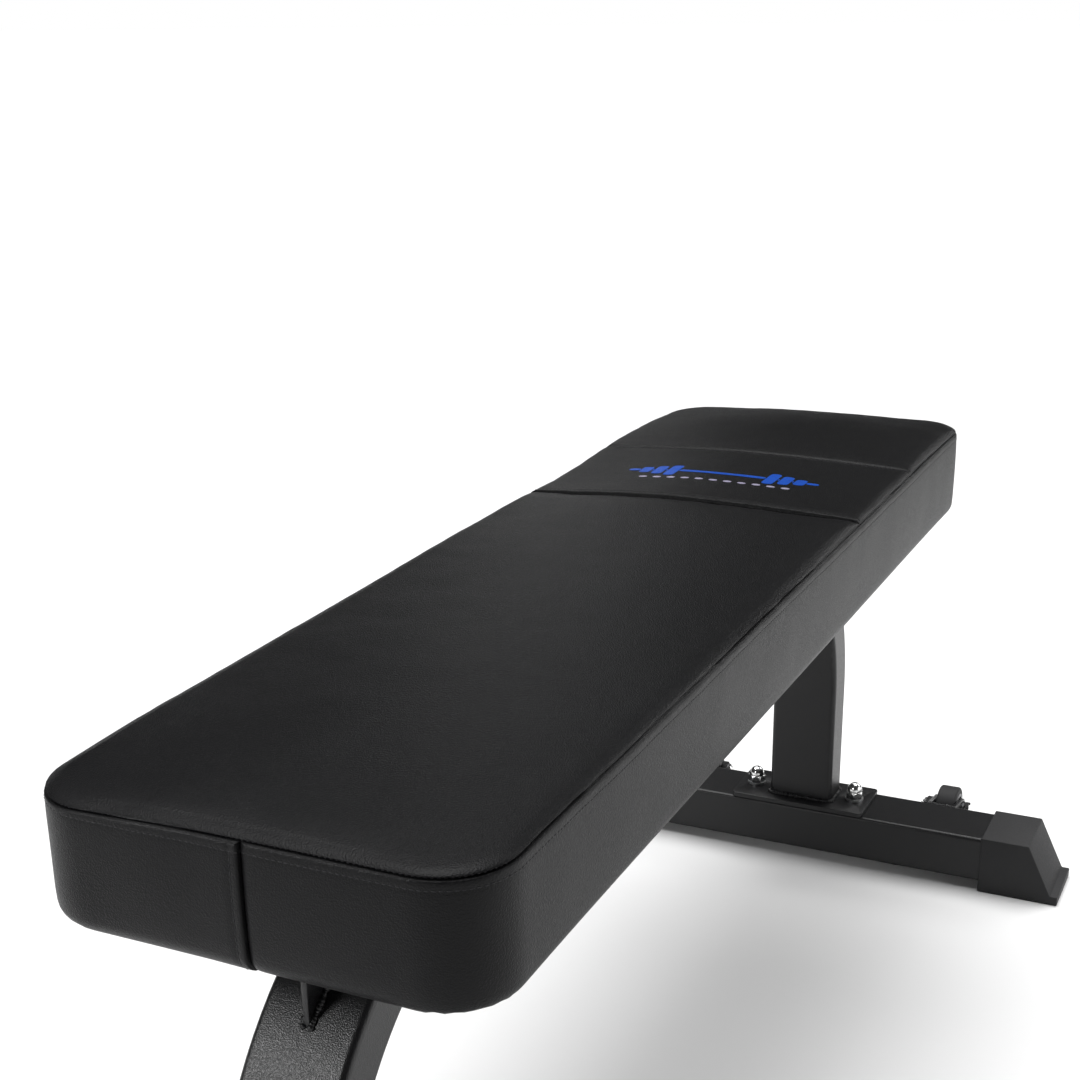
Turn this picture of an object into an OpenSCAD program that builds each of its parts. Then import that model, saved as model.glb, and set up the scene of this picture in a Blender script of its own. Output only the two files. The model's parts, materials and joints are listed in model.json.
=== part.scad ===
// Flat weight bench: an upholstered pad on one bent tube with two crossbars, rubber feet
// and a pair of transport wheels behind the head-end crossbar.
//
// Frame of the model: origin on the floor at the middle of the footprint box, +X towards the
// head end (headrest strip and wheels), +Y to the left of someone who stands at the foot end
// and looks towards the head end, +Z up.

/* [Overall] */
// Length of the pad
pad_l = 1060; // [900:10:1300]
// Width of the pad
pad_w = 300; // [240:5:360]
// How far the middle of each crossbar lies inside the end of the pad
leg_inset = 3; // [-20:1:60]
// How far the pad sits towards the foot end from the middle of the frame
pad_shift = 5; // [0:1:15]
// Height of the pad's underside above the floor
pad_rest_h = 415; // [345:5:500]
// Length of each crossbar tube
crossbar_l = 500; // [400:10:640]

/* [Pad] */
// Thickness of the pad at its top seam
pad_t = 85; // [60:1:110]
// Rise of the crowned top above the top seam
pad_crown = 8; // [4:1:14]
// Radius of the pad's corners seen from above
pad_corner_r = 45; // [30:1:70]
// Radius along the pad's bottom edge
pad_bottom_r = 20; // [10:1:28]
// Thickness of the vinyl cover
cover_t = 2; // [1:0.5:3]
// How far the cover is turned under the board
cover_turn_in = 40; // [32:1:60]
// Thickness of the plywood board
board_t = 15; // [12:1:21]
// Distance from the pad's outline to the edge of the board
board_inset = 24; // [22:1:30]
// Distance from the head end to the far seam of the headrest strip
headrest_offset = 215; // [120:1:260]
// Width of the headrest strip along the pad
headrest_w = 170; // [110:1:220]
// Thickness of the printed badge
badge_t = 0.4; // [0.2:0.1:1]
// Length of the printed barbell across the pad
badge_l = 178; // [120:1:200]
// Height of the barbell's inner plates
badge_h = 34; // [24:1:44]
// Height of the barbell's bar
badge_bar_h = 6; // [3:1:8]
// Number of plates at each end of the barbell
badge_plates = 3; // [1:1:4]
// Width of one plate
badge_plate_w = 10; // [6:1:14]
// Gap between plates
badge_plate_gap = 3; // [2:1:6]
// How much lower each plate is than the one inside it
badge_plate_drop = 8; // [0:1:10]
// Length of bar past the outermost plate
badge_bar_end = 12; // [6:1:20]
// Distance from the middle of the barbell to the row of dashes
dash_row = 24; // [20:1:32]
// Length of the row of dashes
dash_row_l = 140; // [100:1:170]
// Number of dashes
dash_count = 11; // [5:1:14]
// Length of one dash
dash_w = 8; // [4:1:9]
// Height of the dashes
dash_h = 5; // [3:1:8]

/* [Bent tube] */
// Width of the tube across the bench
tube_w = 70; // [50:1:90]
// Depth of the tube in the plane of the bend
tube_d = 40; // [30:1:50]
// Wall of the tube
tube_wall = 2.5; // [1.5:0.5:4]
// Radius of the tube's corners
tube_corner_r = 5; // [4.5:0.5:8]
// Radius of the bends, measured on their outside
bend_r = 220; // [160:5:240]

/* [Crossbars and feet] */
// Depth of a crossbar along the bench
crossbar_d = 70; // [50:1:90]
// Height of a crossbar
crossbar_h = 50; // [40:1:60]
// Wall of a crossbar
crossbar_wall = 2.5; // [1.5:0.5:4]
// Radius of a crossbar's corners
crossbar_corner_r = 4; // [4:0.5:6]
// Thickness of rubber under a crossbar
foot_sole_t = 11; // [8:1:16]
// Thickness of the rubber sleeve round the tube
foot_wall = 2.5; // [2:0.5:4]
// Length of tube that the sleeve covers
foot_grip = 44; // [30:1:70]
// Rubber past the end of the tube at the top
foot_nose_top = 6; // [4:1:12]
// Rubber past the end of the tube where the sloped end meets the lip
foot_nose_bottom = 32; // [20:1:45]
// Reach of the foot's lip past the sloped end
foot_lip = 8; // [4:1:12]
// Height of the foot's lip
foot_lip_h = 10; // [6:1:14]
// Gap between the tube and the rubber sleeve
foot_gap = 0.1; // [0:0.05:0.3]

/* [Plates] */
// Length of the plate under a leg, across the bench
base_plate_l = 150; // [130:1:180]
// Thickness of the plate under a leg
base_plate_t = 5; // [4:1:8]
// Thickness of the plate that carries the pad
pad_plate_t = 5; // [4:1:8]
// Length of that plate along the bench
pad_plate_l = 180; // [150:1:200]
// Length of that plate across the bench
pad_plate_w = 190; // [170:1:220]
// Distance from a leg's outer face to the gusset's upright edge
gusset_setback = 68; // [50:1:100]
// Corner radius of all plates
plate_corner_r = 5; // [2:1:10]
// Thickness of the upright gusset
gusset_t = 4; // [3:1:8]
// Distance from the pad plate's outer edge to the gusset's upright edge
gusset_inset = 4; // [0:1:10]
// Height of the gusset at its thin end
gusset_nose = 3; // [2:1:6]

/* [Crossbar bolts] */
// Distance between the two bolts of a crossbar
crossbar_bolt_gap = 114; // [106:1:120]
// Diameter of the crossbar bolts
crossbar_bolt_d = 10; // [8:1:12]
// Clearance of a bolt in its hole, on the radius
bolt_clear = 0.5; // [0.25:0.05:1]
// Hexagon of the crossbar bolts and their dome nuts, across the flats
crossbar_hex = 17; // [13:1:19]
// Height of a crossbar bolt's head
crossbar_head_h = 6.4; // [5:0.1:8]
// Height of the hexagon of a dome nut
dome_hex_h = 8; // [6:0.5:10]
// Height of the dome above that hexagon
dome_h = 10; // [6:0.5:12]
// Diameter of the dome
dome_d = 16; // [12:0.5:18]
// How far the bolt reaches into the dome
dome_reach = 2; // [1:0.5:4]

/* [Pad bolts] */
// Distance between the two pad bolts of a plate, across the bench
pad_bolt_gap = 140; // [110:1:160]
// Diameter of the pad bolts
pad_bolt_d = 8; // [6:1:10]
// Distance from a pad bolt's tip to the top of the board
pad_bolt_short = 4; // [2:1:6]
// Hexagon of the pad bolts, across the flats
pad_hex = 13; // [10:1:17]
// Height of a pad bolt's head
pad_head_h = 5.3; // [4:0.1:7]
// Outside diameter of a T-nut's barrel
tnut_barrel_d = 11; // [10:0.5:14]
// Diameter of a T-nut's flange
tnut_flange_d = 24; // [18:1:28]
// Thickness of a T-nut's flange
tnut_flange_t = 1.5; // [1:0.5:2]
// Length of a T-nut's barrel
tnut_l = 10; // [8:1:11]
// Gap between a thread and the nut round it, on the radius
thread_gap = 0.05; // [0.02:0.01:0.1]

/* [Washers] */
// Thickness of a washer
washer_t = 2; // [1:0.5:3]
// Width of a washer's ring beyond the bolt
washer_ring = 5; // [3:0.5:7]
// Clearance of a washer round its bolt, on the radius
washer_clear = 0.25; // [0.1:0.05:0.5]

/* [Transport wheels] */
// Diameter of a wheel
wheel_d = 50; // [40:1:70]
// Width of a tyre
tyre_w = 22; // [16:1:30]
// Rounding of a tyre's shoulders
tyre_shoulder_r = 3; // [1:0.5:6]
// Diameter of a hub inside its tyre
hub_d = 36; // [28:1:46]
// How much wider the hub is than its tyre, on each side
hub_proud = 0.5; // [0:0.25:1]
// Depth of the dished side of a hub
hub_dish = 4; // [2:0.5:6]
// Wall of the hub round its bore
hub_boss_wall = 3.5; // [2:0.5:5]
// Wall of the hub's rim under the tyre
hub_rim_wall = 3; // [2:0.5:5]
// Gap between a hub and each ear of its bracket
wheel_side_gap = 0.5; // [0.3:0.1:2]
// Distance from the middle of the bench to the middle of a wheel
wheel_offset = 145; // [100:1:170]
// Distance from the crossbar's back face to the axle
axle_reach = 47; // [40:1:60]
// Height of a wheel above the floor while the bench stands on its feet
wheel_lift = 10.5; // [6:0.5:14]
// Diameter of the axle bolt
axle_d = 10; // [8:1:12]
// Length of the axle bolt past its lock nut
axle_tip = 3; // [1:0.5:5]
// Outside diameter of the sleeve that the wheel turns on
sleeve_d = 15; // [13:0.5:17]
// Running clearance of the hub on that sleeve, on the radius
hub_run = 0.08; // [0.03:0.01:0.1]
// Clearance of the sleeve round the axle bolt, on the radius
sleeve_clear = 0.1; // [0.05:0.05:0.3]
// Height of the lock nut
lock_nut_h = 9.5; // [8:0.5:11]
// Thickness of a bracket's ears
ear_t = 4; // [3:0.5:6]
// Radius of an ear round the axle
ear_r = 13; // [11:0.5:16]
// Distance from the crossbar's edges to the bracket's web
web_inset = 3; // [2:0.5:6]

/* [Hidden] */
$fn = 96;
crown_fn = 720;
eps = 0.01;

// Heights
crossbar_top = foot_sole_t + crossbar_h;
leg_bottom = crossbar_top + base_plate_t;
beam_top = pad_rest_h - pad_plate_t;
beam_mid = beam_top - tube_d / 2;
bend_z = beam_top - bend_r;
seam_z = pad_rest_h + pad_t;
axle_z = wheel_lift + wheel_d / 2;

// Places along the bench; the frame's middle is moved so that the origin is mid-footprint
leg_span = pad_l - 2 * leg_inset;
half_span = leg_span / 2;
foot_end_reach = half_span + crossbar_d / 2 + foot_wall;
wheel_end_reach = half_span + crossbar_d / 2 + axle_reach + wheel_d / 2;
frame_x = (foot_end_reach - wheel_end_reach) / 2;
pad_x = frame_x - pad_shift;
end_signs = [-1, 1];
side_signs = [-1, 1];
bend_x = half_span + tube_d / 2 - bend_r;
bend_mid_r = bend_r - tube_d / 2;
gusset_outer = half_span + tube_d / 2 - gusset_setback;
pad_plate_outer = gusset_outer + gusset_inset;
pad_plate_x = pad_plate_outer - pad_plate_l / 2;
back_face_x = half_span + crossbar_d / 2;
axle_x = back_face_x + axle_reach;

// Gusset, measured outwards from the middle of the frame
gusset_inner = bend_x + sqrt(2 * bend_r * gusset_nose);
gusset_tip_z = bend_z + sqrt(pow(bend_r, 2) - pow(gusset_outer - bend_x, 2));

// Crowned top: one large circle across the pad
crown_r = (pow(pad_w / 2, 2) + pow(pad_crown, 2)) / (2 * pad_crown);
crown_z = seam_z + pad_crown - crown_r;
headrest_high = pad_l / 2 - headrest_offset;
headrest_low = headrest_high - headrest_w;
headrest_mid = (headrest_low + headrest_high) / 2;
dash_pitch = (dash_row_l - dash_w) / (dash_count - 1);
board_low = pad_rest_h + cover_t;
board_top = board_low + board_t;

// Wheels
hub_w = tyre_w + 2 * hub_proud;
ear_gap = hub_w + 2 * wheel_side_gap;
web_low = foot_sole_t + web_inset;
web_high = crossbar_top - web_inset;
ear_out = ear_gap / 2 + ear_t;

// Lengths of bolts under their heads, from what they clamp
crossbar_bolt_l = 2 * washer_t + crossbar_h + base_plate_t + dome_hex_h + dome_reach;
pad_bolt_l = washer_t + pad_plate_t + cover_t + board_t - pad_bolt_short;
axle_bolt_l = 2 * (ear_out + washer_t) + lock_nut_h + axle_tip;

// ---- Shared shapes ----

// Rectangle with round corners, centred on the origin
module round_rect(w, h, r) {
    square([w - 2 * r, h], center = true);
    square([w, h - 2 * r], center = true);
    for (sx = side_signs, sy = side_signs)
        translate([sx * (w / 2 - r), sy * (h / 2 - r)])
            circle(r = r);
}

// Section of a rectangular tube
module tube_section(w, h, wall, r) {
    difference() {
        round_rect(w, h, r);
        round_rect(w - 2 * wall, h - 2 * wall, r - wall);
    }
}

// Hexagon prism standing on z = 0
module hex_prism(across, h) {
    cylinder(d = across / cos(30), h = h, $fn = 6);
}

// Ring standing on z = 0
module ring(r_out, r_in, h) {
    difference() {
        cylinder(r = r_out, h = h);
        translate([0, 0, -eps])
            cylinder(r = r_in, h = h + 2 * eps);
    }
}

// Washer for a bolt of diameter d, standing on z = 0
module washer(d) {
    ring(d / 2 + washer_ring, d / 2 + washer_clear, washer_t);
}

// Hexagon bolt with its head below z = 0 and its shank rising above
module hex_bolt(d, across, head_h, l) {
    translate([0, 0, -head_h])
        hex_prism(across, head_h);
    translate([0, 0, -eps])
        cylinder(d = d, h = l + eps);
}

// Dome nut standing on z = 0, threaded from below
module dome_nut() {
    cap_r = dome_d / 2;
    difference() {
        union() {
            hex_prism(crossbar_hex, dome_hex_h);
            cylinder(r = cap_r, h = dome_hex_h + dome_h - cap_r);
            translate([0, 0, dome_hex_h + dome_h - cap_r])
                sphere(r = cap_r);
        }
        translate([0, 0, -eps])
            cylinder(r = crossbar_bolt_d / 2 + thread_gap, h = dome_hex_h + dome_h / 2);
    }
}

// Mirrors a shape that is drawn at the head end to the end given by its sign
module at_end(sign) {
    translate([frame_x, 0, 0])
        mirror([sign < 0 ? 1 : 0, 0, 0])
            children();
}

// ---- Pad ----

// Block with the pad's plan and its rolled bottom edge, shrunk by inset, up to a level top
module pad_block(inset, top) {
    roll_r = pad_bottom_r - inset;
    roll_z = pad_rest_h + pad_bottom_r;
    side_l = pad_l - 2 * pad_corner_r;
    side_w = pad_w - 2 * pad_corner_r;
    translate([0, 0, roll_z])
        linear_extrude(top - roll_z)
            round_rect(pad_l - 2 * inset, pad_w - 2 * inset, pad_corner_r - inset);
    translate([0, 0, pad_rest_h + inset])
        linear_extrude(roll_r + eps)
            round_rect(pad_l - 2 * pad_bottom_r, pad_w - 2 * pad_bottom_r,
                pad_corner_r - pad_bottom_r);
    for (s = side_signs) {
        translate([0, s * (pad_w / 2 - pad_bottom_r), roll_z])
            rotate([0, 90, 0])
                cylinder(r = roll_r, h = side_l, center = true);
        translate([s * (pad_l / 2 - pad_bottom_r), 0, roll_z])
            rotate([90, 0, 0])
                cylinder(r = roll_r, h = side_w, center = true);
    }
    for (sx = side_signs, sy = side_signs)
        translate([sx * side_l / 2, sy * side_w / 2, roll_z])
            rotate_extrude()
                translate([pad_corner_r - pad_bottom_r, 0])
                    circle(r = roll_r);
}

// Everything under the crowned top, lowered by inset
module under_crown(inset) {
    translate([0, 0, crown_z])
        rotate([0, 90, 0])
            cylinder(r = crown_r - inset, h = pad_l + 2 * pad_crown, center = true, $fn = crown_fn);
}

// Box over the pad's whole plan between two places along it and two heights
module pad_slice(x_low, x_high, z_low, z_high) {
    translate([x_low, -pad_w / 2, z_low])
        cube([x_high - x_low, pad_w, z_high - z_low]);
}

// Plan of the opening that the cover leaves under the board
module turn_in_plan() {
    round_rect(pad_l - 2 * cover_turn_in, pad_w - 2 * cover_turn_in, plate_corner_r);
}

// Places of the pad bolts, looking up from the plates
module at_pad_bolts() {
    for (end = end_signs, side = side_signs)
        at_end(end)
            translate([pad_plate_x, side * pad_bolt_gap / 2, 0])
                children();
}

module pad_board() {
    color("burlywood")
        difference() {
            translate([pad_x, 0, board_low])
                linear_extrude(board_t)
                    round_rect(pad_l - 2 * board_inset, pad_w - 2 * board_inset,
                        pad_corner_r - board_inset);
            at_pad_bolts()
                translate([0, 0, board_low - eps])
                    cylinder(d = tnut_barrel_d, h = board_t + 2 * eps);
        }
}

module pad_foam() {
    color("gold")
        intersection() {
            translate([pad_x, 0, 0])
                under_crown(cover_t);
            difference() {
                translate([pad_x, 0, 0])
                    pad_block(cover_t, seam_z + pad_crown);
                translate([pad_x, 0, pad_rest_h])
                    linear_extrude(board_top - pad_rest_h)
                        round_rect(pad_l - 2 * board_inset, pad_w - 2 * board_inset,
                            pad_corner_r - board_inset);
                at_pad_bolts()
                    translate([0, 0, board_top - eps])
                        cylinder(d = tnut_flange_d, h = tnut_flange_t + eps);
            }
        }
}

// Part of the top panel between two places along the pad
module top_panel(x_low, x_high) {
    translate([pad_x, 0, 0])
        intersection() {
            difference() {
                under_crown(0);
                under_crown(cover_t);
            }
            translate([0, 0, seam_z - pad_crown])
                linear_extrude(3 * pad_crown)
                    round_rect(pad_l, pad_w, pad_corner_r);
            pad_slice(x_low, x_high, seam_z - pad_crown, seam_z + 2 * pad_crown);
        }
}

module cover_main_panel() {
    color("#1c1c1e")
        top_panel(-pad_l / 2, headrest_low);
}

module cover_headrest_strip() {
    color("#232326")
        top_panel(headrest_low, headrest_high);
}

module cover_end_panel() {
    color("#1c1c1e")
        top_panel(headrest_high, pad_l / 2);
}

module cover_side_band() {
    color("#2a2a2c")
        translate([pad_x, 0, 0])
            difference() {
                intersection() {
                    pad_block(0, seam_z + pad_crown);
                    under_crown(cover_t);
                }
                pad_block(cover_t, seam_z + 2 * pad_crown);
                translate([0, 0, pad_rest_h - cover_t])
                    linear_extrude(3 * cover_t)
                        turn_in_plan();
            }
}

module cover_dust_sheet() {
    color("#101010")
        difference() {
            translate([pad_x, 0, pad_rest_h])
                linear_extrude(cover_t)
                    turn_in_plan();
            at_pad_bolts()
                translate([0, 0, pad_rest_h - eps])
                    cylinder(d = pad_bolt_d + 2 * bolt_clear, h = cover_t + 2 * eps);
        }
}

// Print on the headrest strip: a drawing read from the foot end, as a thin skin on the crown
module headrest_print() {
    translate([pad_x, 0, 0])
        intersection() {
            difference() {
                under_crown(-badge_t);
                under_crown(0);
            }
            translate([headrest_mid, 0, seam_z])
                rotate([0, 0, -90])
                    linear_extrude(2 * pad_crown)
                        children();
        }
}

module badge_barbell() {
    color("royalblue")
        headrest_print() {
            square([badge_l, badge_bar_h], center = true);
            for (s = side_signs, i = [0 : badge_plates - 1])
                translate([s * (badge_l / 2 - badge_bar_end - badge_plate_w / 2
                    - (badge_plates - 1 - i) * (badge_plate_w + badge_plate_gap)), 0])
                    square([badge_plate_w, badge_h - i * badge_plate_drop], center = true);
        }
}

module badge_dashes() {
    color("gainsboro")
        headrest_print()
            for (i = [0 : dash_count - 1])
                translate([i * dash_pitch - (dash_row_l - dash_w) / 2, -dash_row])
                    square([dash_w, dash_h], center = true);
}

module pad_t_nuts() {
    color("silver")
        at_pad_bolts()
            difference() {
                translate([0, 0, board_top - tnut_l]) {
                    cylinder(d = tnut_barrel_d, h = tnut_l);
                    translate([0, 0, tnut_l])
                        cylinder(d = tnut_flange_d, h = tnut_flange_t);
                }
                translate([0, 0, board_low])
                    cylinder(r = pad_bolt_d / 2 + thread_gap, h = 2 * board_t);
            }
}

module pad_bolts() {
    color("silver")
        at_pad_bolts()
            translate([0, 0, beam_top - washer_t])
                hex_bolt(pad_bolt_d, pad_hex, pad_head_h, pad_bolt_l);
}

module pad_washers() {
    color("silver")
        at_pad_bolts()
            translate([0, 0, beam_top - washer_t])
                washer(pad_bolt_d);
}

// ---- Frame ----

module bent_frame_tube() {
    color("#26282a") {
        translate([frame_x - bend_x, 0, beam_mid])
            rotate([90, 0, 90])
                linear_extrude(2 * bend_x)
                    tube_section(tube_w, tube_d, tube_wall, tube_corner_r);
        for (end = end_signs)
            at_end(end) {
                translate([bend_x, 0, bend_z])
                    rotate([90, 0, 0])
                        rotate_extrude(angle = 90)
                            translate([bend_mid_r, 0])
                                tube_section(tube_d, tube_w, tube_wall, tube_corner_r);
                translate([half_span, 0, leg_bottom])
                    linear_extrude(bend_z - leg_bottom)
                        tube_section(tube_d, tube_w, tube_wall, tube_corner_r);
            }
    }
}

// Upright plate in the bench's middle plane, between the bend and the pad plate
module gusset(end) {
    color("#202224")
        at_end(end)
            translate([0, gusset_t / 2, 0])
                rotate([90, 0, 0])
                    linear_extrude(gusset_t)
                        difference() {
                            translate([gusset_inner, gusset_tip_z])
                                square([gusset_outer - gusset_inner, beam_top - gusset_tip_z]);
                            translate([bend_x, bend_z])
                                circle(r = bend_r);
                        }
}

module gusset_foot_end() {
    gusset(-1);
}

module gusset_head_end() {
    gusset(1);
}

module pad_plate(end) {
    color("#202224")
        at_end(end)
            translate([pad_plate_x, 0, beam_top])
                linear_extrude(pad_plate_t)
                    difference() {
                        round_rect(pad_plate_l, pad_plate_w, plate_corner_r);
                        for (side = side_signs)
                            translate([0, side * pad_bolt_gap / 2])
                                circle(r = pad_bolt_d / 2 + bolt_clear);
                    }
}

module pad_plate_foot_end() {
    pad_plate(-1);
}

module pad_plate_head_end() {
    pad_plate(1);
}

module base_plate(end) {
    color("#202224")
        at_end(end)
            translate([half_span, 0, crossbar_top])
                linear_extrude(base_plate_t)
                    difference() {
                        round_rect(crossbar_d, base_plate_l, plate_corner_r);
                        for (side = side_signs)
                            translate([0, side * crossbar_bolt_gap / 2])
                                circle(r = crossbar_bolt_d / 2 + bolt_clear);
                    }
}

module base_plate_foot_end() {
    base_plate(-1);
}

module base_plate_head_end() {
    base_plate(1);
}

// ---- Crossbars and feet ----

module crossbar(end) {
    color("#26282a")
        at_end(end)
            difference() {
                translate([half_span, 0, foot_sole_t + crossbar_h / 2])
                    rotate([90, 0, 0])
                        linear_extrude(crossbar_l, center = true)
                            tube_section(crossbar_d, crossbar_h, crossbar_wall, crossbar_corner_r);
                for (side = side_signs)
                    translate([half_span, side * crossbar_bolt_gap / 2, 0])
                        cylinder(r = crossbar_bolt_d / 2 + bolt_clear, h = 2 * crossbar_top);
            }
}

module crossbar_foot_end() {
    crossbar(-1);
}

module crossbar_head_end() {
    crossbar(1);
}

// Rubber foot: a sleeve over the tube's end, with a sloped nose and a lip on the floor
module foot_cap(end, side) {
    tube_end = crossbar_l / 2;
    sleeve_low = tube_end - foot_grip;
    slope_y = tube_end + foot_nose_bottom;
    sleeve_d = crossbar_d + 2 * foot_wall;
    color("#3a3b3d")
        at_end(end)
            mirror([0, side < 0 ? 1 : 0, 0])
                translate([half_span, 0, 0])
                    difference() {
                        translate([-sleeve_d / 2, 0, 0])
                            rotate([90, 0, 90])
                                linear_extrude(sleeve_d)
                                    polygon([
                                        [sleeve_low, 0],
                                        [slope_y + foot_lip, 0],
                                        [slope_y + foot_lip, foot_lip_h],
                                        [slope_y, foot_lip_h],
                                        [tube_end + foot_nose_top, crossbar_top + foot_wall],
                                        [sleeve_low, crossbar_top + foot_wall]
                                    ]);
                        translate([0, tube_end, foot_sole_t + crossbar_h / 2])
                            rotate([90, 0, 0])
                                linear_extrude(2 * foot_grip)
                                    round_rect(crossbar_d + 2 * foot_gap, crossbar_h + 2 * foot_gap,
                                        crossbar_corner_r + foot_gap);
                    }
}

module foot_cap_foot_right() {
    foot_cap(-1, -1);
}

module foot_cap_foot_left() {
    foot_cap(-1, 1);
}

module foot_cap_head_right() {
    foot_cap(1, -1);
}

module foot_cap_head_left() {
    foot_cap(1, 1);
}

// Places of the crossbar bolts, at a height
module at_crossbar_bolts(z) {
    for (end = end_signs, side = side_signs)
        at_end(end)
            translate([half_span, side * crossbar_bolt_gap / 2, z])
                children();
}

module crossbar_bolts() {
    color("silver")
        at_crossbar_bolts(foot_sole_t - washer_t)
            hex_bolt(crossbar_bolt_d, crossbar_hex, crossbar_head_h, crossbar_bolt_l);
}

module crossbar_washers() {
    color("silver") {
        at_crossbar_bolts(foot_sole_t - washer_t)
            washer(crossbar_bolt_d);
        at_crossbar_bolts(leg_bottom)
            washer(crossbar_bolt_d);
    }
}

module crossbar_dome_nuts() {
    color("gainsboro")
        at_crossbar_bolts(leg_bottom + washer_t)
            dome_nut();
}

// ---- Transport wheels ----

// Axle frame of a wheel: z = 0 is the wheel's middle, +z points to the middle of the bench
module at_wheel(side) {
    translate([frame_x + axle_x, 0, axle_z])
        mirror([0, side < 0 ? 1 : 0, 0])
            translate([0, wheel_offset, 0])
                rotate([90, 0, 0])
                    children();
}

// Point where a line from p touches the circle round c; turn is 1 or -1 for its two sides
function touch_point(p, c, r, turn) =
    let (d = p - c, a = atan2(d[1], d[0]) - turn * acos(r / norm(d)))
    c + r * [cos(a), sin(a)];

// Bracket: a web on the crossbar's back face and two ears that taper to the axle
module wheel_bracket(side) {
    axle = [axle_x, axle_z];
    web_top = [back_face_x, web_high];
    web_foot = [back_face_x, web_low];
    color("#202224")
        translate([frame_x, side * wheel_offset, 0]) {
            for (ear = side_signs)
                translate([0, ear * (ear_gap + ear_t) / 2 + ear_t / 2, 0])
                    rotate([90, 0, 0])
                        linear_extrude(ear_t)
                            difference() {
                                union() {
                                    polygon([
                                        web_top, touch_point(web_top, axle, ear_r, 1),
                                        touch_point(web_foot, axle, ear_r, -1), web_foot
                                    ]);
                                    translate(axle)
                                        circle(r = ear_r);
                                }
                                translate(axle)
                                    circle(r = axle_d / 2 + bolt_clear);
                            }
            translate([back_face_x, -ear_out, web_low])
                cube([ear_t, 2 * ear_out, web_high - web_low]);
        }
}

module wheel_bracket_right() {
    wheel_bracket(-1);
}

module wheel_bracket_left() {
    wheel_bracket(1);
}

module wheel_hub(side) {
    bore_r = sleeve_d / 2 + hub_run;
    boss_r = bore_r + hub_boss_wall;
    rim_r = hub_d / 2 - hub_rim_wall;
    face = hub_w / 2;
    web = face - hub_dish;
    color("dimgray")
        at_wheel(side)
            rotate_extrude()
                polygon([
                    [bore_r, -face], [boss_r, -face], [boss_r, -web], [rim_r, -web],
                    [rim_r, -face], [hub_d / 2, -face], [hub_d / 2, face], [rim_r, face],
                    [rim_r, web], [boss_r, web], [boss_r, face], [bore_r, face]
                ]);
}

module wheel_hub_right() {
    wheel_hub(-1);
}

module wheel_hub_left() {
    wheel_hub(1);
}

module wheel_tyre(side) {
    tread_l = wheel_d / 2 - hub_d / 2;
    color("#161616")
        at_wheel(side)
            rotate_extrude() {
                translate([hub_d / 2, -tyre_w / 2])
                    square([tread_l - tyre_shoulder_r, tyre_w]);
                translate([hub_d / 2, tyre_shoulder_r - tyre_w / 2])
                    square([tread_l, tyre_w - 2 * tyre_shoulder_r]);
                for (s = side_signs)
                    translate([wheel_d / 2 - tyre_shoulder_r, s * (tyre_w / 2 - tyre_shoulder_r)])
                        circle(r = tyre_shoulder_r);
            }
}

module wheel_tyre_right() {
    wheel_tyre(-1);
}

module wheel_tyre_left() {
    wheel_tyre(1);
}

module axle_sleeve(side) {
    color("silver")
        at_wheel(side)
            translate([0, 0, -ear_gap / 2])
                ring(sleeve_d / 2, axle_d / 2 + sleeve_clear, ear_gap);
}

module axle_sleeve_right() {
    axle_sleeve(-1);
}

module axle_sleeve_left() {
    axle_sleeve(1);
}

module axle_bolts() {
    color("silver")
        for (side = side_signs)
            at_wheel(side)
                translate([0, 0, -ear_out - washer_t])
                    hex_bolt(axle_d, crossbar_hex, crossbar_head_h, axle_bolt_l);
}

module axle_washers() {
    color("silver")
        for (side = side_signs)
            at_wheel(side) {
                translate([0, 0, -ear_out - washer_t])
                    washer(axle_d);
                translate([0, 0, ear_out])
                    washer(axle_d);
            }
}

module axle_lock_nuts() {
    color("silver")
        for (side = side_signs)
            at_wheel(side)
                translate([0, 0, ear_out + washer_t])
                    difference() {
                        hex_prism(crossbar_hex, lock_nut_h);
                        translate([0, 0, -eps])
                            cylinder(r = axle_d / 2 + thread_gap, h = lock_nut_h + 2 * eps);
                    }
}

pad_board();
pad_foam();
cover_main_panel();
cover_headrest_strip();
cover_end_panel();
cover_side_band();
cover_dust_sheet();
badge_barbell();
badge_dashes();
pad_t_nuts();
pad_bolts();
pad_washers();
bent_frame_tube();
gusset_foot_end();
gusset_head_end();
pad_plate_foot_end();
pad_plate_head_end();
base_plate_foot_end();
base_plate_head_end();
crossbar_foot_end();
crossbar_head_end();
foot_cap_foot_right();
foot_cap_foot_left();
foot_cap_head_right();
foot_cap_head_left();
crossbar_bolts();
crossbar_washers();
crossbar_dome_nuts();
wheel_bracket_right();
wheel_bracket_left();
wheel_hub_right();
wheel_hub_left();
wheel_tyre_right();
wheel_tyre_left();
axle_sleeve_right();
axle_sleeve_left();
axle_bolts();
axle_washers();
axle_lock_nuts();
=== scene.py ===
# %% [markdown]
# # A flat weight bench
# The bench is one upholstered pad on a bent steel tube that stands on two crossbars, with
# rubber feet and two small transport wheels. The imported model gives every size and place.
# This script dresses it: soft cover, seams, stitches, welds, fasteners, finishes and light.

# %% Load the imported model
import json
import math

import bmesh
import bpy
from mathutils import Matrix, Vector, noise
from mathutils.bvhtree import BVHTree
from mathutils.interpolate import poly_3d_calc

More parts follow.
